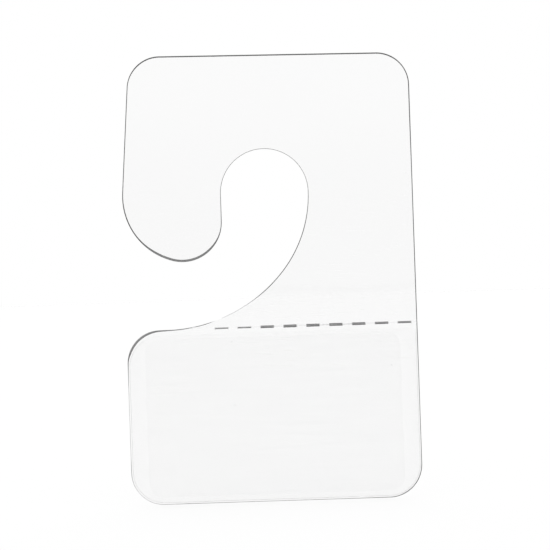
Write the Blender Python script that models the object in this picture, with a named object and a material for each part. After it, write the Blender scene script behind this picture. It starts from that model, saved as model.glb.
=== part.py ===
"""Clear hook hang tab: a die-cut film with a hook opening, a perforated fold, adhesive and release liner.

The tab stands upright as it hangs. X is its width, Y its thickness with the front facing -Y, and Z its
height. The origin is the peg seat: the highest point of the throat, halfway through the film.
Run with: blender --background --python part.py
"""

import math

import bpy

MM = 0.001

# The outline is laid out in millimetres from the tab's lower left corner: across, then up.
# The height is at the upper right corner, because the top edge rises a little towards the left.
TAB_WIDTH = 50.0
TAB_HEIGHT = 76.5
BASE_HEIGHT = 30.0
CORNER_RADIUS = 5.65
TOP_RISE_DEG = 1.0
EDGE_LEAN_DEG = 4.4
FILM_THICKNESS = 0.25

# Throat, the space that the peg enters
THROAT_RADIUS = 7.5
THROAT_ACROSS = 24.5
THROAT_ABOVE_FOLD = 23.1
THROAT_SIDE_RADIUS = 21.5
THROAT_FOOT_RADIUS = 26.0

# Hook tip, the tongue left of the throat
TIP_WIDTH = THROAT_ACROSS - THROAT_RADIUS
TIP_INNER_RADIUS = 6.8
TIP_OUTER_RADIUS = 11.5
MOUTH_HEIGHT = 11.6

# Perforated fold line
SLOT_COUNT = 9
SLOT_PITCH = 3.93
SLOT_LENGTH = 2.26
SLOT_WIDTH = 0.5
LAST_SLOT_TO_EDGE = 1.07
HOOK_END_HEIGHT = 0.1

# Adhesive and release liner on the back of the base
ADHESIVE_THICKNESS = 0.05
ADHESIVE_SIDE_INSET = 3.0
ADHESIVE_BOTTOM_INSET = 1.2
ADHESIVE_BELOW_FOLD = 1.6
ADHESIVE_CORNER_RADIUS = 2.5
LINER_THICKNESS = 0.075
LINER_INSET = 0.3
LINER_BELOW_FOLD = 1.0
LINER_SQUARE_CORNER_RADIUS = 0.8

TIE_GAP = 0.02
LAYER_GAP = 0.01
FOLD_AXIS_IN_FRONT = 0.01
CHORD_ERROR = 0.004

HALF_SLOT = SLOT_WIDTH / 2
FRONT = -FILM_THICKNESS / 2
BACK = FILM_THICKNESS / 2
SEAT_UP = BASE_HEIGHT + THROAT_ABOVE_FOLD + THROAT_RADIUS
FOLD_Z = BASE_HEIGHT - SEAT_UP


def arc(centre, radius, start_deg, end_deg):
    """Points along an arc, both ends included, close enough together to look round."""
    step = 2 * math.degrees(math.acos(1 - CHORD_ERROR / radius))
    count = max(2, math.ceil(abs(end_deg - start_deg) / step))
    angles = [math.radians(start_deg + (end_deg - start_deg) * i / count) for i in range(count + 1)]
    return [(centre[0] + radius * math.cos(a), centre[1] + radius * math.sin(a)) for a in angles]


def rounded_rectangle(left, bottom, right, top, radii):
    """Outline of a rectangle, counter-clockwise. radii go lower left, lower right, upper right, upper left."""
    corners = ((left, bottom), (right, bottom), (right, top), (left, top))
    points = []
    for i, ((x, y), radius) in enumerate(zip(corners, radii)):
        centre = (x + radius if x == left else x - radius, y + radius if y == bottom else y - radius)
        points += arc(centre, radius, 180 + 90 * i, 270 + 90 * i)
    return points


class Throat:
    """The arcs of the throat and the hook tip, each tangent to the next."""

    top = (THROAT_ACROSS, BASE_HEIGHT + THROAT_ABOVE_FOLD)
    side = (THROAT_ACROSS + THROAT_RADIUS - THROAT_SIDE_RADIUS, top[1])
    drop = THROAT_FOOT_RADIUS - THROAT_ABOVE_FOLD
    side_sweep = math.degrees(math.asin(drop / (THROAT_FOOT_RADIUS - THROAT_SIDE_RADIUS)))
    foot_shift = (THROAT_FOOT_RADIUS - THROAT_SIDE_RADIUS) * math.cos(math.radians(side_sweep))
    foot = (side[0] - foot_shift, BASE_HEIGHT + THROAT_FOOT_RADIUS)

    tip_inner = (TIP_WIDTH - TIP_INNER_RADIUS, BASE_HEIGHT + MOUTH_HEIGHT + TIP_INNER_RADIUS)
    tip_step = TIP_OUTER_RADIUS - TIP_INNER_RADIUS
    tip_rise = math.sqrt(tip_step**2 - (TIP_OUTER_RADIUS - tip_inner[0]) ** 2)
    tip_outer = (TIP_OUTER_RADIUS, tip_inner[1] + tip_rise)
    tip_join = 180 + math.degrees(math.asin(tip_rise / tip_step))

    # The hook panel starts where the foot arc has risen clear of the fold line's upper edge.
    hook_end_up = HALF_SLOT + HOOK_END_HEIGHT
    hook_end_angle = math.degrees(math.acos(1 - hook_end_up / THROAT_FOOT_RADIUS)) - 90
    hook_end_across = foot[0] + THROAT_FOOT_RADIUS * math.cos(math.radians(hook_end_angle))


def top_left_centre(top_right):
    """Centre of the upper left corner's arc, which joins the rising top edge to the leaning left edge."""
    lean = math.radians(EDGE_LEAN_DEG)
    rise = math.radians(TOP_RISE_DEG)
    tip_across = Throat.tip_outer[0] - top_right[0]
    tip_up = Throat.tip_outer[1] - top_right[1]
    tip_to_left = tip_up * math.sin(lean) - tip_across * math.cos(lean)
    run = (TIP_OUTER_RADIUS - CORNER_RADIUS + tip_to_left) / math.cos(lean - rise)
    return (top_right[0] - run * math.cos(rise), top_right[1] + run * math.sin(rise))


def hook_outline():
    """The hook's outline. Its left edge is tangent to the tip and leans in towards its top."""
    r = CORNER_RADIUS
    top_right = (TAB_WIDTH - r, TAB_HEIGHT - r)
    top_angle = 90 - TOP_RISE_DEG
    side_angle = 180 - EDGE_LEAN_DEG
    return [
        (Throat.hook_end_across, BASE_HEIGHT + HALF_SLOT),
        (TAB_WIDTH, BASE_HEIGHT + HALF_SLOT),
        *arc(top_right, r, 0, top_angle),
        *arc(top_left_centre(top_right), r, top_angle, side_angle),
        *arc(Throat.tip_outer, TIP_OUTER_RADIUS, side_angle, Throat.tip_join),
        *arc(Throat.tip_inner, TIP_INNER_RADIUS, Throat.tip_join, 360)[1:],
        *arc(Throat.top, THROAT_RADIUS, 180, 0),
        *arc(Throat.side, THROAT_SIDE_RADIUS, 0, -Throat.side_sweep)[1:],
        *arc(Throat.foot, THROAT_FOOT_RADIUS, -Throat.side_sweep, Throat.hook_end_angle)[1:],
    ]


def base_outline():
    r = CORNER_RADIUS
    foot = arc(Throat.foot, THROAT_FOOT_RADIUS, Throat.hook_end_angle, -90)
    return [
        *arc((r, r), r, 180, 270),
        *arc((TAB_WIDTH - r, r), r, 270, 360),
        (TAB_WIDTH, BASE_HEIGHT - HALF_SLOT),
        (foot[0][0] - TIE_GAP, BASE_HEIGHT - HALF_SLOT),
        (foot[0][0] - TIE_GAP, foot[0][1]),
        *foot[1:],
        *arc((r, BASE_HEIGHT - r), r, 90, 180),
    ]


def adhesive_outline():
    radii = [ADHESIVE_CORNER_RADIUS] * 4
    return rounded_rectangle(
        ADHESIVE_SIDE_INSET,
        ADHESIVE_BOTTOM_INSET,
        TAB_WIDTH - ADHESIVE_SIDE_INSET,
        BASE_HEIGHT - ADHESIVE_BELOW_FOLD,
        radii,
    )


def liner_outline():
    r = CORNER_RADIUS - LINER_INSET
    return rounded_rectangle(
        LINER_INSET,
        LINER_INSET,
        TAB_WIDTH - LINER_INSET,
        BASE_HEIGHT - LINER_BELOW_FOLD,
        (r, r, LINER_SQUARE_CORNER_RADIUS, r),
    )


def tie_spans():
    """Left and right end of each film bridge along the fold line."""
    last_end = TAB_WIDTH - LAST_SLOT_TO_EDGE
    starts = [last_end - SLOT_LENGTH - SLOT_PITCH * i for i in reversed(range(SLOT_COUNT))]
    lefts = [Throat.hook_end_across] + [s + SLOT_LENGTH for s in starts]
    rights = starts + [TAB_WIDTH]
    return list(zip(lefts, rights))


def clear_scene():
    for obj in list(bpy.data.objects):
        bpy.data.objects.remove(obj, do_unlink=True)


def clear_plastic(name, colour, roughness, ior):
    material = bpy.data.materials.new(name)
    material.use_nodes = True
    shader = material.node_tree.nodes["Principled BSDF"]
    shader.inputs["Base Color"].default_value = (*colour, 1.0)
    shader.inputs["Roughness"].default_value = roughness
    shader.inputs["Metallic"].default_value = 0.0
    shader.inputs["IOR"].default_value = ior
    shader.inputs["Transmission Weight"].default_value = 1.0
    material.diffuse_color = (*colour, 0.35)
    return material


def empty_at(name, place, collection, parent=None):
    """An empty on a joint's axis. place is in metres, in the tab's frame."""
    empty = bpy.data.objects.new(name, None)
    empty.empty_display_size = 5 * MM
    collection.objects.link(empty)
    empty.location = place
    hold(empty, parent)
    return empty


def hold(obj, parent):
    """Parents obj and keeps the place it has in the tab's frame."""
    if parent is None:
        return
    bpy.context.view_layer.update()
    obj.parent = parent
    obj.matrix_parent_inverse = parent.matrix_world.inverted()


def flat_piece(name, outline, y_low, y_high, pivot, material, collection, parent=None):
    """A sheet cut to outline, upright between two Y planes in millimetres, with its origin at pivot in metres."""
    curve = bpy.data.curves.new(name, "CURVE")
    curve.dimensions = "2D"
    curve.fill_mode = "BOTH"
    curve.extrude = (y_high - y_low) / 2 * MM
    curve.materials.append(material)
    spline = curve.splines.new("POLY")
    spline.points.add(len(outline) - 1)
    for point, (across, up) in zip(spline.points, outline):
        x = (across - THROAT_ACROSS) * MM - pivot[0]
        z = (up - SEAT_UP) * MM - pivot[2]
        point.co = (x, z, 0.0, 1.0)
    spline.use_cyclic_u = True
    obj = bpy.data.objects.new(name, curve)
    collection.objects.link(obj)
    obj.location = (pivot[0], (y_low + y_high) / 2 * MM, pivot[2])
    obj.rotation_euler = (math.radians(90), 0, 0)
    hold(obj, parent)
    return obj


def film_tie(name, left, right, material, collection, parent):
    """One film bridge of the fold: a small block across the slot width, clear of both panels."""
    length = right - left - (TIE_GAP if right < TAB_WIDTH else 0)
    height = SLOT_WIDTH - 2 * TIE_GAP
    bpy.ops.mesh.primitive_cube_add(size=1)
    obj = bpy.context.object
    obj.name = name
    obj.data.name = name
    obj.scale = (length * MM, FILM_THICKNESS * MM, height * MM)
    bpy.ops.object.transform_apply(location=False, rotation=False, scale=True)
    obj.location = ((left + length / 2 - THROAT_ACROSS) * MM, 0, FOLD_Z * MM)
    obj.data.materials.append(material)
    for other in list(obj.users_collection):
        other.objects.unlink(obj)
    collection.objects.link(obj)
    hold(obj, parent)
    return obj


def build():
    clear_scene()
    tab = bpy.data.collections.new("hook_hang_tab")
    bpy.context.scene.collection.children.link(tab)

    film = clear_plastic("clear_film", (0.97, 0.98, 0.98), 0.04, 1.57)
    adhesive = clear_plastic("clear_adhesive", (0.95, 0.95, 0.94), 0.25, 1.47)
    liner = clear_plastic("liner_film", (0.94, 0.95, 0.96), 0.18, 1.5)

    seat = (0.0, 0.0, 0.0)
    fold_point = (0.0, (FRONT - FOLD_AXIS_IN_FRONT) * MM, FOLD_Z * MM)
    adhesive_front = BACK + LAYER_GAP
    adhesive_back = adhesive_front + ADHESIVE_THICKNESS
    liner_front = adhesive_back + LAYER_GAP
    liner_back = liner_front + LINER_THICKNESS
    liner_edge = (TAB_WIDTH - LINER_INSET - THROAT_ACROSS) * MM
    peel_point = (liner_edge, liner_back * MM, (BASE_HEIGHT / 2 - SEAT_UP) * MM)

    fold_axis = empty_at("fold_axis", fold_point, tab)
    peel_axis = empty_at("peel_axis", peel_point, tab, fold_axis)

    flat_piece("hook_panel", hook_outline(), FRONT, BACK, seat, film, tab)
    flat_piece("base_panel", base_outline(), FRONT, BACK, fold_point, film, tab, fold_axis)
    for i, (left, right) in enumerate(tie_spans()):
        film_tie(f"fold_tie_{i + 1:02d}", left + (TIE_GAP if i else 0), right, film, tab, fold_axis)
    flat_piece(
        "adhesive_layer", adhesive_outline(), adhesive_front, adhesive_back, fold_point, adhesive, tab, fold_axis
    )
    flat_piece("release_liner", liner_outline(), liner_front, liner_back, peel_point, liner, tab, peel_axis)


build()
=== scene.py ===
"""The looks of the clear hook hang tab: its film, adhesive and release liner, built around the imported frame.

Everything is laid out in millimetres from the tab's lower left corner, across and then up, and turned into
the frame's metres by place(). The frame's origin is the peg seat at the top of the throat.
"""

import math
from collections import namedtuple

import bmesh
import bpy
from mathutils import Matrix, Vector, noise
from mathutils.geometry import delaunay_2d_cdt
from mathutils.kdtree import KDTree


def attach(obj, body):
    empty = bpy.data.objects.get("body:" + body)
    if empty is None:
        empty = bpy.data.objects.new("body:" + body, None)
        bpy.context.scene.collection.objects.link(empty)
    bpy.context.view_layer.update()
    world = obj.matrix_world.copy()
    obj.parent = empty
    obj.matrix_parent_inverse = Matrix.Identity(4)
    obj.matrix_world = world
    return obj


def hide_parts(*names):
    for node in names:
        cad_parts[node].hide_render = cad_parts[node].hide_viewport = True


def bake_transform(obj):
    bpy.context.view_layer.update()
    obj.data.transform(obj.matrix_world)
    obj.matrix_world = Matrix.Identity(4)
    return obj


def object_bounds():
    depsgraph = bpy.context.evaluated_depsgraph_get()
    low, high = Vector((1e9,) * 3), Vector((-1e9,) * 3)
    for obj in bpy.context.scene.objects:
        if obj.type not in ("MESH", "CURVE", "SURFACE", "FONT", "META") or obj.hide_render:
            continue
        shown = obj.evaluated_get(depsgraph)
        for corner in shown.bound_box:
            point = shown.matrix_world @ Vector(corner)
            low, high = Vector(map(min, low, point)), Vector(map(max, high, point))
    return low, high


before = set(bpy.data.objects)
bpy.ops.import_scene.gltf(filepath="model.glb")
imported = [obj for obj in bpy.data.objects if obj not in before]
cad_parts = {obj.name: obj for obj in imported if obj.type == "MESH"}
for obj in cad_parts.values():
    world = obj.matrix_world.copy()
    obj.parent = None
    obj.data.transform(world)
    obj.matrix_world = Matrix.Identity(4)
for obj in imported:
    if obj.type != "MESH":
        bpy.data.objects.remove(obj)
cad_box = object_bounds()

MM = 0.001

# The film's outline, the same arcs as the CAD panels. The height is at the upper right corner.
TAB_WIDTH = 50.0
TAB_HEIGHT = 76.5
BASE_HEIGHT = 30.0
CORNER_RADIUS = 5.65
TOP_RISE_DEG = 1.0
EDGE_LEAN_DEG = 4.4
FILM_THICKNESS = 0.25
THROAT_RADIUS = 7.5
THROAT_ACROSS = 24.5
THROAT_ABOVE_FOLD = 23.1
THROAT_SIDE_RADIUS = 21.5
THROAT_FOOT_RADIUS = 26.0
TIP_WIDTH = THROAT_ACROSS - THROAT_RADIUS
TIP_INNER_RADIUS = 6.8
TIP_OUTER_RADIUS = 11.5
MOUTH_HEIGHT = 11.6

# Perforated fold line. Each slot's lips lie LIP_TO_FOLD from the fold at the film's front, and slant away.
SLOT_COUNT = 9
SLOT_PITCH = 3.93
SLOT_LENGTH = 2.26
SLOT_WIDTH = 0.5
LAST_SLOT_TO_EDGE = 1.07
HOOK_END_HEIGHT = 0.1
HALF_SLOT = SLOT_WIDTH / 2
LIP_TO_FOLD = 0.008
LIP_END_GAP = 0.03
# The lips' grey is painted shade, for the dark line that light bending at a slot's cut walls makes.
LIP_PAINTED_SHADE = 0.17
TIE_GAP = 0.02
TIE_STEPS = 16
TIE_SHOULDER = 0.04
CREASE_DEPTH = 0.01
CREASE_WIDTH = 0.08

# How far each slot's lips have spread from the fold at the back of the film, left to right
LIP_SPREADS = (0.12, 0.13, 0.22, 0.24, 0.24, 0.24, 0.23, 0.20, 0.17)

# How hard each bridge was creased, left to right; this sets its roughness and the painted shade in its crease
CREASES = (0.0, 0.03, 0.08, 0.2, 0.16, 0.42, 0.45, 0.18, 0.18, 0.05)

# Adhesive and liner. The adhesive's edge wanders by up to ADHESIVE_RAGGED over about ADHESIVE_WANDER_LENGTH.
LAYER_GAP = 0.01
ADHESIVE_THICKNESS = 0.05
ADHESIVE_SIDE_INSET = 3.0
ADHESIVE_BOTTOM_INSET = 1.2
ADHESIVE_BELOW_FOLD = 1.6
ADHESIVE_CORNER_RADIUS = 2.5
ADHESIVE_RAGGED = 0.12
ADHESIVE_WANDER_LENGTH = 1.7
ADHESIVE_RIM_STEP = 0.5
LINER_THICKNESS = 0.075
LINER_INSET = 0.3
LINER_BELOW_FOLD = 1.0
LINER_SQUARE_CORNER_RADIUS = 0.8

# Width and tone of the liner's shoulder, all round it and along its straight top. The tone is painted shade,
# for the faint line that light bending at the liner's clear edge makes.
LINER_SHOULDER = (0.03, 0.36)
LINER_TOP_SHOULDER = (0.015, 0.65)

SEAT_UP = BASE_HEIGHT + THROAT_ABOVE_FOLD + THROAT_RADIUS
CHORD_ERROR = 0.0008

# Spacing of the points along straight edges and inside the faces, across and up, and the least distance
# between a point inside a face and its rim
RIM_STEP = 1.0
FACE_STEP = (1.8, 1.8)
LINER_STEP = (0.7, 1.8)
FACE_MARGIN = 0.6

# How slightly the film waves. The waves set in between the two distances from the fold.
RIPPLE_HEIGHT = 0.05
RIPPLE_LENGTH = (19.0, 13.0)
RIPPLE_SETS_IN = (1.0, 8.0)

# Planes of the solid noise that the waves and the adhesive's edge are cut from
RIPPLE_NOISE_PLANE = 1.5
ADHESIVE_NOISE_PLANE = 4.0

# Edges are shaded sharp where they turn by more than this, and where a wall meets a flat face
SHARP_ANGLE = math.radians(40)

# Shares of the sheet's thickness, front to back, at which its wall has a ring of points
ROUND_LAYERS = (0.0, 0.05, 0.16, 0.32, 0.5, 0.68, 0.84, 0.95, 1.0)
THIN_LAYERS = (0.0, 0.5, 1.0)

# The power of a round wall's curve: 2 would be an ellipse, and a higher power is squarer
WALL_POWER = 2.6

# Points closer than this, in metres, are one; and the triangulation's tolerance, in millimetres
SAME_POINT = 1e-7
TRIANGLE_TOLERANCE = 1e-6

# A rim point: its place; the step inward from its outermost layer to where the flat face starts; whether the
# wall there slants from front to back, or else is round; whether the wall from it to the next point is a cut
# edge; and how light that edge is, a painted shade standing in for the dark line that light bending at the
# clear cut edge makes.
Rim = namedtuple("Rim", "across up step_across step_up slant cut tone")


# ---------------------------------------------------------------- outlines


def arc(centre, radius, start_deg, end_deg):
    """Points along an arc, both ends included, close enough together to look round."""
    step = 2 * math.degrees(math.acos(1 - CHORD_ERROR / radius))
    count = max(2, math.ceil(abs(end_deg - start_deg) / step))
    angles = [math.radians(start_deg + (end_deg - start_deg) * i / count) for i in range(count + 1)]
    return [(centre[0] + radius * math.cos(a), centre[1] + radius * math.sin(a)) for a in angles]


class Throat:
    """The arcs of the throat and the hook tip, each tangent to the next."""

    top = (THROAT_ACROSS, BASE_HEIGHT + THROAT_ABOVE_FOLD)
    side = (THROAT_ACROSS + THROAT_RADIUS - THROAT_SIDE_RADIUS, top[1])
    drop = THROAT_FOOT_RADIUS - THROAT_ABOVE_FOLD
    side_sweep = math.degrees(math.asin(drop / (THROAT_FOOT_RADIUS - THROAT_SIDE_RADIUS)))
    foot_shift = (THROAT_FOOT_RADIUS - THROAT_SIDE_RADIUS) * math.cos(math.radians(side_sweep))
    foot = (side[0] - foot_shift, BASE_HEIGHT + THROAT_FOOT_RADIUS)

    tip_inner = (TIP_WIDTH - TIP_INNER_RADIUS, BASE_HEIGHT + MOUTH_HEIGHT + TIP_INNER_RADIUS)
    tip_step = TIP_OUTER_RADIUS - TIP_INNER_RADIUS
    tip_rise = math.sqrt(tip_step**2 - (TIP_OUTER_RADIUS - tip_inner[0]) ** 2)
    tip_outer = (TIP_OUTER_RADIUS, tip_inner[1] + tip_rise)
    tip_join = 180 + math.degrees(math.asin(tip_rise / tip_step))

    hook_end_up = HALF_SLOT + HOOK_END_HEIGHT
    hook_end_angle = math.degrees(math.acos(1 - hook_end_up / THROAT_FOOT_RADIUS)) - 90
    hook_end_across = foot[0] + THROAT_FOOT_RADIUS * math.cos(math.radians(hook_end_angle))


# The die left a wider or narrower shoulder in some places than in others. Each zone is an ellipse: its centre
# across and up, its reach across and up, and the shoulder's width and tone there. A higher tone is lighter.
# The
# tone is painted shade: it sets how dark the line is that light bending at the clear cut edge makes there.
PLAIN_SHOULDER = (0.14, 0.10)
SHOULDER_ZONES = (
    (25.0, 77.0, 60.0, 3.0, 0.215, 0.08),
    (50.0, 68.0, 3.0, 8.0, 0.17, 0.10),
    (1.5, 48.0, 4.0, 5.0, 0.19, 0.08),
    (9.9, 41.7, 8.6, 4.6, 0.40, 0.22),
    (24.5, 57.0, 11.0, 9.0, 0.062, 0.12),
    (18.3, 32.6, 6.5, 3.5, 0.05, 0.12),
    (12.6, 30.6, 2.3, 1.5, 0.12, 0.14),
    (15.7, 31.4, 0.9, 1.5, 0.01, 0.80),
    (1.8, 28.3, 5.0, 3.2, 0.40, 0.22),
    (0.0, 14.0, 3.0, 9.5, 0.035, 0.14),
    (24.0, 0.0, 24.0, 2.0, 0.055, 0.10),
    (3.0, 2.0, 5.0, 4.0, 0.03, 0.14),
    (50.0, 14.0, 3.0, 13.0, 0.10, 0.10),
    (49.0, 2.5, 4.5, 4.0, 0.13, 0.10),
)

# At the throat's foot the shoulder is at most this share of the panel's height there
WEDGE_SHARE = 0.5


def shoulder_at(across, up):
    """Width in millimetres of the cut edge's shoulder at a point of the outline, and its tone, which is
    painted shade.
    """
    width, tone = PLAIN_SHOULDER
    for zone_across, zone_up, reach_across, reach_up, zone_width, zone_tone in SHOULDER_ZONES:
        away = ((across - zone_across) / reach_across) ** 2 + ((up - zone_up) / reach_up) ** 2
        share = math.exp(-(away**2))
        width += share * (zone_width - width)
        tone += share * (zone_tone - tone)
    return width, tone


def spread(points, step=RIM_STEP, closed=False):
    """The points, with more between them where they are further apart than step."""
    ends = points[1:] + points[:1] if closed else points[1:]
    filled = []
    for (x0, y0), (x1, y1) in zip(points, ends):
        count = max(1, math.ceil(math.hypot(x1 - x0, y1 - y0) / step))
        filled += [(x0 + (x1 - x0) * i / count, y0 + (y1 - y0) * i / count) for i in range(count)]
    return filled if closed else filled + points[-1:]


def cut_run(points, shoulder=shoulder_at, closed=False, step=RIM_STEP):
    """Rim points along a run of cut edge. The points go round the sheet counter-clockwise.

    shoulder(across, up) gives the shoulder's width and tone at a point.
    """
    points = spread(points, step, closed)
    rim = []
    last = len(points) - 1
    for i, (across, up) in enumerate(points):
        before = points[i - 1] if i or closed else points[i]
        after = points[(i + 1) % len(points)] if i < last or closed else points[i]
        along = Vector((after[0] - before[0], after[1] - before[1])).normalized()
        width, tone = shoulder(across, up)
        rim.append(Rim(across, up, -along.y * width, along.x * width, False, True, tone))
    return rim


def joined(point):
    """The same rim point, with a clear wall from it to the next one."""
    return point._replace(cut=False)


def tie_spans():
    """Left and right end of each film bridge along the fold line."""
    last_end = TAB_WIDTH - LAST_SLOT_TO_EDGE
    starts = [last_end - SLOT_LENGTH - SLOT_PITCH * i for i in reversed(range(SLOT_COUNT))]
    lefts = [Throat.hook_end_across] + [s + SLOT_LENGTH for s in starts]
    rights = starts + [TAB_WIDTH]
    return list(zip(lefts, rights))


def fold_run(side):
    """The rim along the fold line, left to right: flat at each bridge, with a slanted lip in each slot.

    side is 1 above the fold and -1 below it.
    """
    join_up = BASE_HEIGHT + side * HALF_SLOT
    lip_up = BASE_HEIGHT + side * LIP_TO_FOLD
    spans = tie_spans()
    rim = [Rim(spans[0][0], join_up, 0, 0, True, False, LIP_PAINTED_SHADE)]
    for (_, slot_start), (slot_end, _), spread_at_back in zip(spans, spans[1:], LIP_SPREADS):
        lip_step = side * (spread_at_back - LIP_TO_FOLD)
        start = slot_start + LIP_END_GAP
        end = slot_end - LIP_END_GAP
        rim.append(Rim(start, join_up, 0, 0, True, True, LIP_PAINTED_SHADE))
        rim.append(Rim(start, lip_up, 0, lip_step, True, True, LIP_PAINTED_SHADE))
        rim.append(Rim(end, lip_up, 0, lip_step, True, True, LIP_PAINTED_SHADE))
        rim.append(Rim(end, join_up, 0, 0, True, False, LIP_PAINTED_SHADE))
    return rim


def turned(rim):
    """A rim run the other way round: each wall's kind stays with its wall."""
    flipped = rim[::-1]
    kinds = [point.cut for point in flipped[1:]] + [False]
    return [point._replace(cut=kind) for point, kind in zip(flipped, kinds)]


def top_left_centre(top_right):
    """Centre of the upper left corner's arc, which joins the rising top edge to the leaning left edge."""
    lean = math.radians(EDGE_LEAN_DEG)
    rise = math.radians(TOP_RISE_DEG)
    tip_across = Throat.tip_outer[0] - top_right[0]
    tip_up = Throat.tip_outer[1] - top_right[1]
    tip_to_left = tip_up * math.sin(lean) - tip_across * math.cos(lean)
    run = (TIP_OUTER_RADIUS - CORNER_RADIUS + tip_to_left) / math.cos(lean - rise)
    return (top_right[0] - run * math.cos(rise), top_right[1] + run * math.sin(rise))


def hook_rim():
    """The rim of the panel with the hook, from the fold line round the tip and the throat to its foot."""
    r = CORNER_RADIUS
    top_right = (TAB_WIDTH - r, TAB_HEIGHT - r)
    top_angle = 90 - TOP_RISE_DEG
    side_angle = 180 - EDGE_LEAN_DEG
    edge = [
        (TAB_WIDTH, BASE_HEIGHT + HALF_SLOT),
        *arc(top_right, r, 0, top_angle),
        *arc(top_left_centre(top_right), r, top_angle, side_angle),
        *arc(Throat.tip_outer, TIP_OUTER_RADIUS, side_angle, Throat.tip_join),
        *arc(Throat.tip_inner, TIP_INNER_RADIUS, Throat.tip_join, 360)[1:],
        *arc(Throat.top, THROAT_RADIUS, 180, 0),
        *arc(Throat.side, THROAT_SIDE_RADIUS, 0, -Throat.side_sweep)[1:],
        *arc(Throat.foot, THROAT_FOOT_RADIUS, -Throat.side_sweep, Throat.hook_end_angle)[1:],
    ]

    def shoulder(across, up):
        """The panel thins to a wedge at the throat's foot, and its shoulder thins with it."""
        width, tone = shoulder_at(across, up)
        if across < THROAT_ACROSS:
            room = up - BASE_HEIGHT - HALF_SLOT
            width = min(width, WEDGE_SHARE * room)
        return width, tone

    run = cut_run(edge, shoulder)
    return fold_run(1) + run[:-1] + [joined(run[-1])]


def base_rim():
    """The rim of the panel below the fold line, whose upper left is the end of the throat's foot."""
    r = CORNER_RADIUS
    foot = arc(Throat.foot, THROAT_FOOT_RADIUS, Throat.hook_end_angle, -90)
    seam = foot[0][0] - TIE_GAP
    right_end = (TAB_WIDTH, BASE_HEIGHT - HALF_SLOT)
    lower = cut_run([*arc((r, r), r, 180, 270), *arc((TAB_WIDTH - r, r), r, 270, 360), right_end])
    upper = cut_run([(seam, foot[0][1]), *foot[1:], *arc((r, BASE_HEIGHT - r), r, 90, 180), (0, r)])
    seam_foot = Rim(seam, BASE_HEIGHT - HALF_SLOT, 0, 0, False, False, LIP_PAINTED_SHADE)
    return lower[:-1] + [joined(lower[-1])] + turned(fold_run(-1)) + [seam_foot] + upper[:-1]


def rounded_rectangle(left, bottom, right, top, radii):
    """Outline of a rectangle, counter-clockwise. radii are its corners' radii, from the lower left on."""
    corners = ((left, bottom), (right, bottom), (right, top), (left, top))
    points = []
    for i, ((x, y), radius) in enumerate(zip(corners, radii)):
        centre = (x + radius if x == left else x - radius, y + radius if y == bottom else y - radius)
        points += arc(centre, radius, 180 + 90 * i, 270 + 90 * i)
    return points


def adhesive_rim():
    """The coated patch, whose edge wanders a little."""
    right = TAB_WIDTH - ADHESIVE_SIDE_INSET
    top = BASE_HEIGHT - ADHESIVE_BELOW_FOLD
    radii = [ADHESIVE_CORNER_RADIUS] * 4
    outline = rounded_rectangle(ADHESIVE_SIDE_INSET, ADHESIVE_BOTTOM_INSET, right, top, radii)
    wander = ADHESIVE_WANDER_LENGTH
    rim = []
    for point in cut_run(outline, lambda across, up: (1.0, 0.0), True, ADHESIVE_RIM_STEP):
        in_noise = (point.across / wander, point.up / wander, ADHESIVE_NOISE_PLANE)
        shift = ADHESIVE_RAGGED * noise.noise(Vector(in_noise))
        across = point.across + shift * point.step_across
        up = point.up + shift * point.step_up
        rim.append(Rim(across, up, 0, 0, False, False, 0))
    return rim


def liner_shoulder(across, up):
    """Width and tone of the liner's shoulder, which is fainter along its straight top."""
    top_starts = BASE_HEIGHT - LINER_BELOW_FOLD - LINER_SQUARE_CORNER_RADIUS
    return LINER_TOP_SHOULDER if up > top_starts else LINER_SHOULDER


def liner_rim():
    """The liner's rim: round corners like the base's, and a nearly square one at the upper right."""
    r = CORNER_RADIUS - LINER_INSET
    right = TAB_WIDTH - LINER_INSET
    top = BASE_HEIGHT - LINER_BELOW_FOLD
    radii = (r, r, LINER_SQUARE_CORNER_RADIUS, r)
    outline = rounded_rectangle(LINER_INSET, LINER_INSET, right, top, radii)
    return cut_run(outline, liner_shoulder, True, LINER_STEP[0])


# ---------------------------------------------------------------- meshes


def inward_share(layer, slant):
    """How far in from the outermost point the wall is at a layer: a round shoulder, or a straight slant."""
    if slant:
        return layer
    from_middle = abs(2 * layer - 1)
    return 1 - math.sqrt(max(0.0, 1 - from_middle**WALL_POWER))


def place(across, y, up):
    """A point in the frame's metres."""
    return ((across - THROAT_ACROSS) * MM, y * MM, (up - SEAT_UP) * MM)


def eased(value, low, high):
    """0 at low, 1 at high, and a smooth step between them."""
    share = min(1.0, max(0.0, (value - low) / (high - low)))
    return share * share * (3 - 2 * share)


def ripple(across, up, layer):
    """How far the film's slight waves move a point along Y: alike on both faces, and nothing at the fold."""
    fade = eased(abs(up - BASE_HEIGHT), *RIPPLE_SETS_IN)
    in_noise = (across / RIPPLE_LENGTH[0], up / RIPPLE_LENGTH[1], RIPPLE_NOISE_PLANE)
    return RIPPLE_HEIGHT * fade * noise.noise(Vector(in_noise))


def crease_share(up):
    """1 on the fold line, and nearly 0 a few crease widths away from it."""
    return math.exp(-(((up - BASE_HEIGHT) / CREASE_WIDTH) ** 2))


def crease(across, up, layer):
    """The groove that the fold has pressed into both faces of a bridge."""
    return (1 - 2 * layer) * CREASE_DEPTH * crease_share(up)


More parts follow.
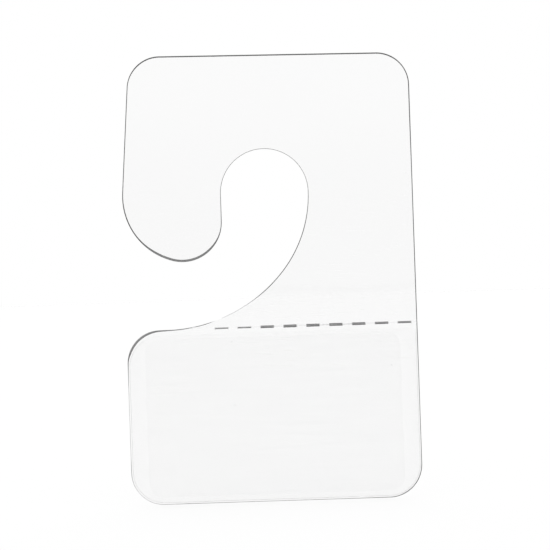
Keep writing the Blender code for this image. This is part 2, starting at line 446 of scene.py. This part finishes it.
def fill_face(make_vert, ring, step):
    """Triangles of an even size inside a ring of vertices, as lists of vertices.

    ring is a list of (vertex, across, up). make_vert(across, up) makes each vertex inside it.
    """
    tree = KDTree(len(ring))
    for i, (_, across, up) in enumerate(ring):
        tree.insert((across, up, 0), i)
    tree.balance()
    coords = [Vector((across, up)) for _, across, up in ring]
    low_across, low_up = (min(c[k] for c in coords) for k in (0, 1))
    high_across, high_up = (max(c[k] for c in coords) for k in (0, 1))
    for row in range(1, math.ceil((high_up - low_up) / step[1])):
        for column in range(math.ceil((high_across - low_across) / step[0])):
            across = low_across + (column + 0.5 * (row % 2)) * step[0]
            up = low_up + row * step[1]
            if tree.find((across, up, 0))[2] > FACE_MARGIN:
                coords.append(Vector((across, up)))
    outline = [list(range(len(ring)))]
    _, _, faces, sources, _, owners = delaunay_2d_cdt(coords, [], outline, 0, TRIANGLE_TOLERANCE, True)
    made = {i: vert for i, (vert, _, _) in enumerate(ring)}
    triangles = []
    for face, owner in zip(faces, owners):
        if not owner:
            continue
        corners = [sources[k][0] for k in face]
        for i in corners:
            if i not in made:
                made[i] = make_vert(*coords[i])
        triangles.append([made[i] for i in corners])
    return triangles


def shade_edges(bm, flat):
    """Shades edges smooth, except where they turn sharply and where a wall meets a face that flat marks."""
    for edge in bm.edges:
        flat_sides = sum(face[flat] for face in edge.link_faces)
        edge.smooth = flat_sides != 1 and edge.calc_face_angle(0.0) < SHARP_ANGLE


def mesh_object(name, bm):
    """The finished mesh as an object in the scene."""
    mesh = bpy.data.meshes.new(name)
    bm.to_mesh(mesh)
    bm.free()
    piece = bpy.data.objects.new(name, mesh)
    bpy.context.scene.collection.objects.link(piece)
    return piece


def sheet(name, rim, y_low, y_high, layers, relief=ripple, step=FACE_STEP, ladder=False, creasing=0.0):
    """A closed sheet between two Y planes in millimetres, with its walls shaped by its rim.

    Faces are material 0 and cut walls material 1. A ladder's two faces are strips between rim points i and
    n - 1 - i, so that it can bend. relief(across, up, layer) moves a point along Y. creasing is how hard the
    sheet was creased along the fold line. Each point keeps its tone, its crease and its place at rest for the
    materials.
    """
    bm = bmesh.new()
    tone = bm.verts.layers.float.new("edge_painted_shade")
    rest = bm.verts.layers.float_vector.new("rest_at")
    creased = bm.verts.layers.float.new("crease")
    flat = bm.faces.layers.int.new("flat")
    count = len(rim)

    def make_vert(across, up, layer, edge_painted_shade=1.0):
        """A point of the sheet. A layer is a share of its thickness, front to back."""
        y = y_low + layer * (y_high - y_low) + relief(across, up, layer)
        vert = bm.verts.new(place(across, y, up))
        vert[tone] = edge_painted_shade
        vert[rest] = (across, y, up)
        vert[creased] = creasing * crease_share(up)
        return vert

    rings = []
    for layer in layers:
        ring = []
        for point in rim:
            share = inward_share(layer, point.slant)
            across = point.across + share * point.step_across
            up = point.up + share * point.step_up
            ring.append((make_vert(across, up, layer, point.tone), across, up))
        rings.append(ring)
    for near, far in zip(rings, rings[1:]):
        for i, point in enumerate(rim):
            j = (i + 1) % count
            wall = bm.faces.new((near[i][0], near[j][0], far[j][0], far[i][0]))
            wall.material_index = int(point.cut)
            wall.smooth = True
    for ring, layer in ((rings[0], layers[0]), (rings[-1], layers[-1])):
        if ladder:
            strips = [(ring[i], ring[i + 1], ring[-i - 2], ring[-i - 1]) for i in range(count // 2 - 1)]
            faces = [[vert for vert, _, _ in strip] for strip in strips]
        else:
            faces = fill_face(lambda across, up: make_vert(across, up, layer), ring, step)
        for corners in faces:
            face = bm.faces.new(corners)
            face.smooth = True
            face[flat] = 1
    bmesh.ops.remove_doubles(bm, verts=bm.verts, dist=SAME_POINT)
    bmesh.ops.recalc_face_normals(bm, faces=bm.faces)
    shade_edges(bm, flat)
    return mesh_object(name, bm)


# ---------------------------------------------------------------- materials

# Colours are linear, scales are per millimetre of the sheet and depths are in millimetres. A band is the
# stretch of a noise's values over which its pattern sets in.

# How much of a lamp's light passes each face
SHEET_CLEARNESS = 0.94
ADHESIVE_CLEARNESS = 0.995

FILM_COLOUR = (0.991, 0.991, 0.991, 1)
FILM_IOR = 1.57
FILM_ROUGHNESS = 0.03
SCRATCH_TURN_DEG = 35
SCRATCH_SCALE = (0.12, 1, 9.0)
SCRATCH_BAND = (0.66, 0.74)
SCRATCH_ROUGHNESS = 0.10
SCRATCH_DEPTH = 0.01
SCUFF_SCALE = 0.16
SCUFF_BAND = (0.5, 0.75)
SCUFF_ROUGHNESS = 0.03

# A crease is rougher than the film, and darkened by painted shade in its groove; both are broken up along the
# fold
CREASE_SHADE_COLOUR = (0.05, 0.05, 0.055, 1)
CREASE_ROUGHNESS = 0.4
CREASE_BREAK_SCALE = 5.0
CREASE_BREAK_BAND = (0.35, 0.6)
CREASE_LEAST = 0.6

LINER_COLOUR = (0.991, 0.991, 0.991, 1)
LINER_IOR = 1.45
LINER_ROUGHNESS = (0.09, 0.16)
MOTTLE_SCALE = 0.5
MOTTLE_BAND = (0.3, 0.7)
GRAIN_SCALE = 6.0
GRAIN_DEPTH = 0.004

# The adhesive's alphas are low, because it wets the film and hardly shows. A bubble sits in about one cell in
# seven, and fades out over BUBBLE_RIM.
HAZE_COLOUR = (0.5, 0.5, 0.5, 1)
HAZE_ALPHA = (0.010, 0.017)
ADHESIVE_ROUGHNESS = 0.35
ADHESIVE_IOR = 1.47
COATING_LINE_SCALE = (0.08, 1, 1.6)
COATING_LINE_BAND = (0.3, 0.7)
BUBBLE_CELL_SCALE = 0.55
BUBBLE_CHOICE = 0.86
BUBBLE_RIM = (0.04, 0.07)
BUBBLE_ALPHA = 0.22

# The cut edge's streaks run through its thickness, and make it darker or lighter by these factors
STREAK_SCALE = (6.0, 1.0, 6.0)
STREAK_BAND = (0.3, 0.7)
STREAK_SHADES = (0.7, 1.3)
STREAK_DEPTH = 0.03
EDGE_ROUGHNESS = 0.42
EDGE_IOR = 1.5


class Tree:
    """A node tree that is written one node a call."""

    def __init__(self, owner):
        owner.use_nodes = True
        self.tree = owner.node_tree
        self.tree.nodes.clear()

    def add(self, kind, inputs=None, **settings):
        """Adds a node. inputs maps a socket's name or number to a value or to the output that feeds it."""
        node = self.tree.nodes.new(kind)
        for name, value in settings.items():
            setattr(node, name, value)
        for name, value in (inputs or {}).items():
            if isinstance(value, bpy.types.NodeSocket):
                self.tree.links.new(value, node.inputs[name])
            else:
                node.inputs[name].default_value = value
        return node

    def maths(self, operation, first, second=0.0, third=0.0):
        """A Math node's result. second and third are left out where the operation has no use for them."""
        return self.add("ShaderNodeMath", {0: first, 1: second, 2: third}, operation=operation).outputs[0]

    def smooth(self, value, low, high, to_low=0.0, to_high=1.0):
        """value eased from to_low at low to to_high at high."""
        sockets = {"Value": value, "From Min": low, "From Max": high, "To Min": to_low, "To Max": to_high}
        return self.add("ShaderNodeMapRange", sockets, interpolation_type="SMOOTHSTEP").outputs["Result"]

    def rest_at(self):
        """Where the point lay at rest, in millimetres across, through and up."""
        return self.add("ShaderNodeAttribute", attribute_name="rest_at").outputs["Vector"]

    def share(self, name):
        """A number that the mesh keeps for each point."""
        return self.add("ShaderNodeAttribute", attribute_name=name).outputs["Fac"]

    def noise(self, vector, scale, detail=2.0, roughness=0.5):
        """Fractal noise, from 0 to 1."""
        sockets = {"Vector": vector, "Scale": scale, "Detail": detail, "Roughness": roughness}
        return self.add("ShaderNodeTexNoise", sockets).outputs["Fac"]

    def stretched(self, vector, turn_deg, scale):
        """The vector turned in the sheet's plane and scaled on each axis."""
        sockets = {"Vector": vector, "Rotation": (0, math.radians(turn_deg), 0), "Scale": scale}
        return self.add("ShaderNodeMapping", sockets).outputs["Vector"]

    def bump(self, height, depth, strength=0.5, invert=False):
        """The normal of a surface that height, from 0 to 1, raises by depth millimetres, or lowers."""
        sockets = {"Height": height, "Strength": strength, "Distance": depth * MM}
        return self.add("ShaderNodeBump", sockets, invert=invert).outputs[0]

    def mix(self, factor, first, second, data_type="FLOAT"):
        """first where factor is 0, second where it is 1."""
        sockets = {"Factor": factor, "A": first, "B": second}
        return self.add("ShaderNodeMix", sockets, data_type=data_type).outputs["Result"]

    def principled(self, inputs):
        """A Principled shader. Sockets that inputs leaves out keep their defaults."""
        return self.add("ShaderNodeBsdfPrincipled", inputs).outputs[0]

    def finish(self, shader):
        """Makes shader the material's surface."""
        self.tree.links.new(shader, self.add("ShaderNodeOutputMaterial").inputs["Surface"])


def lamp_lets_through(tree, shader, clearness):
    """Lamps shine through the sheet, dimmed a little at each of its faces, instead of being blocked by it."""
    shadow = tree.add("ShaderNodeLightPath").outputs["Is Shadow Ray"]
    clear = tree.add("ShaderNodeBsdfTransparent", {"Color": (clearness, clearness, clearness, 1)})
    return tree.add("ShaderNodeMixShader", {0: shadow, 1: shader, 2: clear.outputs[0]}).outputs[0]


def film_material(name, creased=False):
    """Clear glossy film with hairline scratches and scuffs. On a bridge, a crease frosts it and painted shade
    darkens it.
    """
    material = bpy.data.materials.new(name)
    tree = Tree(material)
    at = tree.rest_at()
    stretched = tree.stretched(at, SCRATCH_TURN_DEG, SCRATCH_SCALE)
    hairlines = tree.noise(stretched, 1.0, detail=3.0, roughness=0.6)
    scratch = tree.smooth(hairlines, *SCRATCH_BAND)
    scuff = tree.smooth(tree.noise(at, SCUFF_SCALE, detail=3.0), *SCUFF_BAND)
    rough = tree.maths("MULTIPLY_ADD", scratch, SCRATCH_ROUGHNESS, FILM_ROUGHNESS)
    rough = tree.maths("MULTIPLY_ADD", scuff, SCUFF_ROUGHNESS, rough)
    colour = FILM_COLOUR
    if creased:
        broken = tree.smooth(tree.noise(at, CREASE_BREAK_SCALE), *CREASE_BREAK_BAND, CREASE_LEAST, 1.0)
        crease_wear_and_shade = tree.maths("MULTIPLY", tree.share("crease"), broken)
        rough = tree.maths("MULTIPLY_ADD", crease_wear_and_shade, CREASE_ROUGHNESS, rough)
        # Painted shade darkens the film along the crease.
        colour = tree.mix(crease_wear_and_shade, FILM_COLOUR, CREASE_SHADE_COLOUR, "RGBA")
    inputs = {
        "Base Color": colour,
        "Roughness": rough,
        "IOR": FILM_IOR,
        "Transmission Weight": 1.0,
        "Normal": tree.bump(scratch, SCRATCH_DEPTH, invert=True),
    }
    tree.finish(lamp_lets_through(tree, tree.principled(inputs), SHEET_CLEARNESS))
    return material


def liner_material():
    """Silicone-coated release film: clear, satin and faintly mottled."""
    material = bpy.data.materials.new("release_liner")
    tree = Tree(material)
    at = tree.rest_at()
    mottle = tree.noise(at, MOTTLE_SCALE, detail=3.0)
    inputs = {
        "Base Color": LINER_COLOUR,
        "Roughness": tree.smooth(mottle, *MOTTLE_BAND, *LINER_ROUGHNESS),
        "IOR": LINER_IOR,
        "Transmission Weight": 1.0,
        "Normal": tree.bump(tree.noise(at, GRAIN_SCALE), GRAIN_DEPTH),
    }
    tree.finish(lamp_lets_through(tree, tree.principled(inputs), SHEET_CLEARNESS))
    return material


def adhesive_material():
    """Clear adhesive that wets the film, so it shows only as a faint haze, coating lines and tiny bubbles."""
    material = bpy.data.materials.new("clear_adhesive")
    tree = Tree(material)
    at = tree.rest_at()
    lines = tree.noise(tree.stretched(at, 0, COATING_LINE_SCALE), 1.0)
    haze = tree.smooth(lines, *COATING_LINE_BAND, *HAZE_ALPHA)
    cells = tree.add("ShaderNodeTexVoronoi", {"Vector": at, "Scale": BUBBLE_CELL_SCALE, "Randomness": 1.0})
    lot = tree.add("ShaderNodeSeparateColor", {0: cells.outputs["Color"]}).outputs[0]
    chosen = tree.maths("GREATER_THAN", lot, BUBBLE_CHOICE)
    bubble = tree.smooth(cells.outputs["Distance"], *BUBBLE_RIM, BUBBLE_ALPHA, 0.0)
    inputs = {
        "Base Color": HAZE_COLOUR,
        "Roughness": ADHESIVE_ROUGHNESS,
        "IOR": ADHESIVE_IOR,
        "Alpha": tree.maths("MULTIPLY_ADD", bubble, chosen, haze),
    }
    tree.finish(lamp_lets_through(tree, tree.principled(inputs), ADHESIVE_CLEARNESS))
    return material


def cut_edge_material():
    """The die-cut edge: frosted, streaked through its thickness, and greyed by painted shade from its rim's
    tone.
    """
    material = bpy.data.materials.new("die_cut_edge_painted_shade")
    tree = Tree(material)
    streaks = tree.noise(tree.stretched(tree.rest_at(), 0, STREAK_SCALE), 1.0, detail=3.0, roughness=0.6)
    shade = tree.smooth(streaks, *STREAK_BAND, *STREAK_SHADES)
    # The edge's grey: painted shade from the rim's tone, broken up by the real streaks.
    grey = tree.maths("MULTIPLY", tree.share("edge_painted_shade"), shade)
    colour = tree.add("ShaderNodeCombineColor", {"Red": grey, "Green": grey, "Blue": grey})
    inputs = {
        "Base Color": colour.outputs[0],
        "Roughness": EDGE_ROUGHNESS,
        "IOR": EDGE_IOR,
        "Normal": tree.bump(streaks, STREAK_DEPTH, strength=0.6),
    }
    tree.finish(tree.principled(inputs))
    return material


# ---------------------------------------------------------------- pieces


def dress(piece, materials, node):
    """Gives a piece its materials, and hides the CAD node that it stands for.

    Light that bounces off the floor passes it by: a clear film leaves hardly any shadow.
    """
    piece.visible_diffuse = False
    for material in materials:
        piece.data.materials.append(material)
    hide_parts(node)


def film_piece(name, rim, materials, node):
    """One of the two film panels."""
    piece = sheet(name, rim, -FILM_THICKNESS / 2, FILM_THICKNESS / 2, ROUND_LAYERS)
    dress(piece, materials, node)
    return piece


def film_pieces(film, edge):
    """Both panels; the base goes with the base's body."""
    hook = film_piece("hook_film", hook_rim(), (film, edge), "hook_panel")
    base = film_piece("base_film", base_rim(), (film, edge), "base_panel")
    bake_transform(hook)
    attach(base, "base")


def tie_piece(number, left, right, materials):
    """One film bridge of the fold, between the two panels.

    Its sides are cut edges, except the first bridge's left side, which is joined to the base.
    """
    top = BASE_HEIGHT + HALF_SLOT - TIE_GAP
    bottom = BASE_HEIGHT - HALF_SLOT + TIE_GAP
    ups = [bottom + (top - bottom) * i / TIE_STEPS for i in range(TIE_STEPS + 1)]

    def side(across, heights, inward, cut):
        """Rim points along one side. inward is 1 if the bridge is to the right of it, and -1 to the left."""
        width, tone = shoulder_at(across, BASE_HEIGHT) if across == TAB_WIDTH else (TIE_SHOULDER, LIP_PAINTED_SHADE)
        step_across = inward * width if cut else 0
        return [Rim(across, up, step_across, 0, False, cut, tone) for up in heights]

    rights = side(right, ups, -1, True)
    lefts = side(left, ups[::-1], 1, number > 1)
    rim = rights[:-1] + [joined(rights[-1])] + lefts[:-1] + [joined(lefts[-1])]
    half = FILM_THICKNESS / 2
    creasing = CREASES[number - 1]
    name = f"fold_bridge_{number:02d}"
    piece = sheet(name, rim, -half, half, ROUND_LAYERS, crease, ladder=True, creasing=creasing)
    dress(piece, materials, f"fold_tie_{number:02d}")
    above = place(left, 0, BASE_HEIGHT + HALF_SLOT)
    below = place(left, 0, BASE_HEIGHT - HALF_SLOT)
    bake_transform(piece)


def adhesive_piece():
    """The coat of adhesive behind the base."""
    front = FILM_THICKNESS / 2 + LAYER_GAP
    piece = sheet("adhesive_coat", adhesive_rim(), front, front + ADHESIVE_THICKNESS, THIN_LAYERS)
    dress(piece, (adhesive_material(),), "adhesive_layer")
    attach(piece, "base")


def liner_piece(edge):
    """The release liner."""
    front = FILM_THICKNESS / 2 + ADHESIVE_THICKNESS + 2 * LAYER_GAP
    piece = sheet("liner_sheet", liner_rim(), front, front + LINER_THICKNESS, THIN_LAYERS, step=LINER_STEP)
    dress(piece, (liner_material(), edge), "release_liner")
    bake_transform(piece)


def build_tab():
    """The fourteen pieces, each in place of the CAD node that it stands for."""
    film = film_material("clear_film")
    creased = film_material("creased_film", creased=True)
    edge = cut_edge_material()
    film_pieces(film, edge)
    for number, (left, right) in enumerate(tie_spans(), 1):
        tie_piece(number, left, right, (creased, edge))
    adhesive_piece()
    liner_piece(edge)


# ---------------------------------------------------------------- stage, light and camera

# The floor's albedo makes it as bright as the white behind the tab. The gap below the tab is in millimetres,
# and the radius in metres.
FLOOR_ALBEDO = 0.772
FLOOR_GAP = 0.4
FLOOR_RADIUS = 3.0
FLOOR_CORNERS = 96

# The surroundings have a brightness for each direction, a unit vector: X across, Y towards the back, Z up. A
# pair is the stretch of one of its coordinates over which one brightness gives way to another.
PLAIN_LEVEL = 1.0

# Before the tab they are dim at eye level, less so above it and nearly dark below it
FRONT_GIVES_WAY = (-0.92, -0.70)
FRONT_BRIGHTENS = (0.03, 0.16)
FRONT_LEVELS = (0.46, 0.70)
FRONT_DARKENS = (-0.015, 0.0)
FRONT_LOSS_BELOW = 0.38

# Low down they are dim, with a bright streak on each side
LOW_GIVES_WAY = (-0.30, -0.12)
LOW_LEVEL = 0.55
STREAK_AT = 0.66
STREAK_GIVES_WAY = (0.02, 0.07)
STREAK_LEVEL = 1.5

# Overhead they are bright
HIGH_SETS_IN = (0.35, 0.85)
HIGH_LEVEL = 1.5

# The camera: focal length in millimetres, yaw, pitch and roll in degrees, and its place in millimetres
CAMERA_LENS = 94.4
CAMERA_TURNS = (0.60, 0.21, 1.96)
CAMERA_AT = (3.95, -248.0, -22.67)
CAMERA_CLIP = (0.01, 20.0)

# The most see-through faces that one ray of light passes
CLEAR_FACES = 32


def add_floor():
    """A pale floor just below the tab. It stays out of the film's reflections."""
    low = cad_box[0].z - FLOOR_GAP * MM
    bpy.ops.mesh.primitive_circle_add(
        vertices=FLOOR_CORNERS, radius=FLOOR_RADIUS, fill_type="NGON", location=(0, 0, low)
    )
    floor = bpy.context.object
    floor.name = "floor"
    floor.visible_glossy = False
    material = bpy.data.materials.new("pale_floor")
    tree = Tree(material)
    colour = (FLOOR_ALBEDO, FLOOR_ALBEDO, FLOOR_ALBEDO, 1)
    tree.finish(tree.add("ShaderNodeBsdfDiffuse", {"Color": colour}).outputs[0])
    floor.data.materials.append(material)


def add_surroundings():
    """A white room by direction: dimmer before the tab, dim and streaked low down, bright overhead."""
    world = bpy.data.worlds.new("soft_studio")
    bpy.context.scene.world = world
    tree = Tree(world)
    direction = tree.add("ShaderNodeTexCoord").outputs["Generated"]
    split = tree.add("ShaderNodeSeparateXYZ", {0: direction})
    across, backward, upward = split.outputs["X"], split.outputs["Y"], split.outputs["Z"]

    front = tree.smooth(backward, *FRONT_GIVES_WAY, 1.0, 0.0)
    front_level = tree.smooth(upward, *FRONT_BRIGHTENS, *FRONT_LEVELS)
    front_loss = tree.smooth(upward, *FRONT_DARKENS, FRONT_LOSS_BELOW, 0.0)
    front_level = tree.maths("SUBTRACT", front_level, front_loss)
    low = tree.smooth(upward, *LOW_GIVES_WAY, 1.0, 0.0)
    to_either_side = tree.maths("ABSOLUTE", across)
    from_streak = tree.maths("ABSOLUTE", tree.maths("SUBTRACT", to_either_side, STREAK_AT))
    low_level = tree.smooth(from_streak, *STREAK_GIVES_WAY, STREAK_LEVEL, LOW_LEVEL)
    high = tree.smooth(upward, *HIGH_SETS_IN)

    level = tree.mix(front, PLAIN_LEVEL, front_level)
    level = tree.mix(low, level, low_level)
    level = tree.mix(high, level, HIGH_LEVEL)
    background = tree.add("ShaderNodeBackground", {"Color": (1, 1, 1, 1), "Strength": level})
    tree.add("ShaderNodeOutputWorld", {"Surface": background.outputs[0]})


def add_camera():
    """The camera, before the tab and turned a little. Colours are shown plainly."""
    data = bpy.data.cameras.new("camera")
    data.lens = CAMERA_LENS
    data.clip_start, data.clip_end = CAMERA_CLIP
    camera = bpy.data.objects.new("camera", data)
    scene = bpy.context.scene
    scene.collection.objects.link(camera)
    yaw, pitch, roll = (math.radians(angle) for angle in CAMERA_TURNS)
    turn = Matrix.Rotation(yaw, 4, "Z") @ Matrix.Rotation(pitch, 4, "X") @ Matrix.Rotation(roll, 4, "Y")
    to_level = Matrix.Rotation(math.radians(90), 4, "X")
    at = Matrix.Translation([value * MM for value in CAMERA_AT])
    camera.matrix_world = at @ turn @ to_level
    scene.camera = camera
    scene.view_settings.view_transform = "Standard"
    scene.cycles.transparent_max_bounces = CLEAR_FACES


add_camera()
build_tab()
add_surroundings()
add_floor()
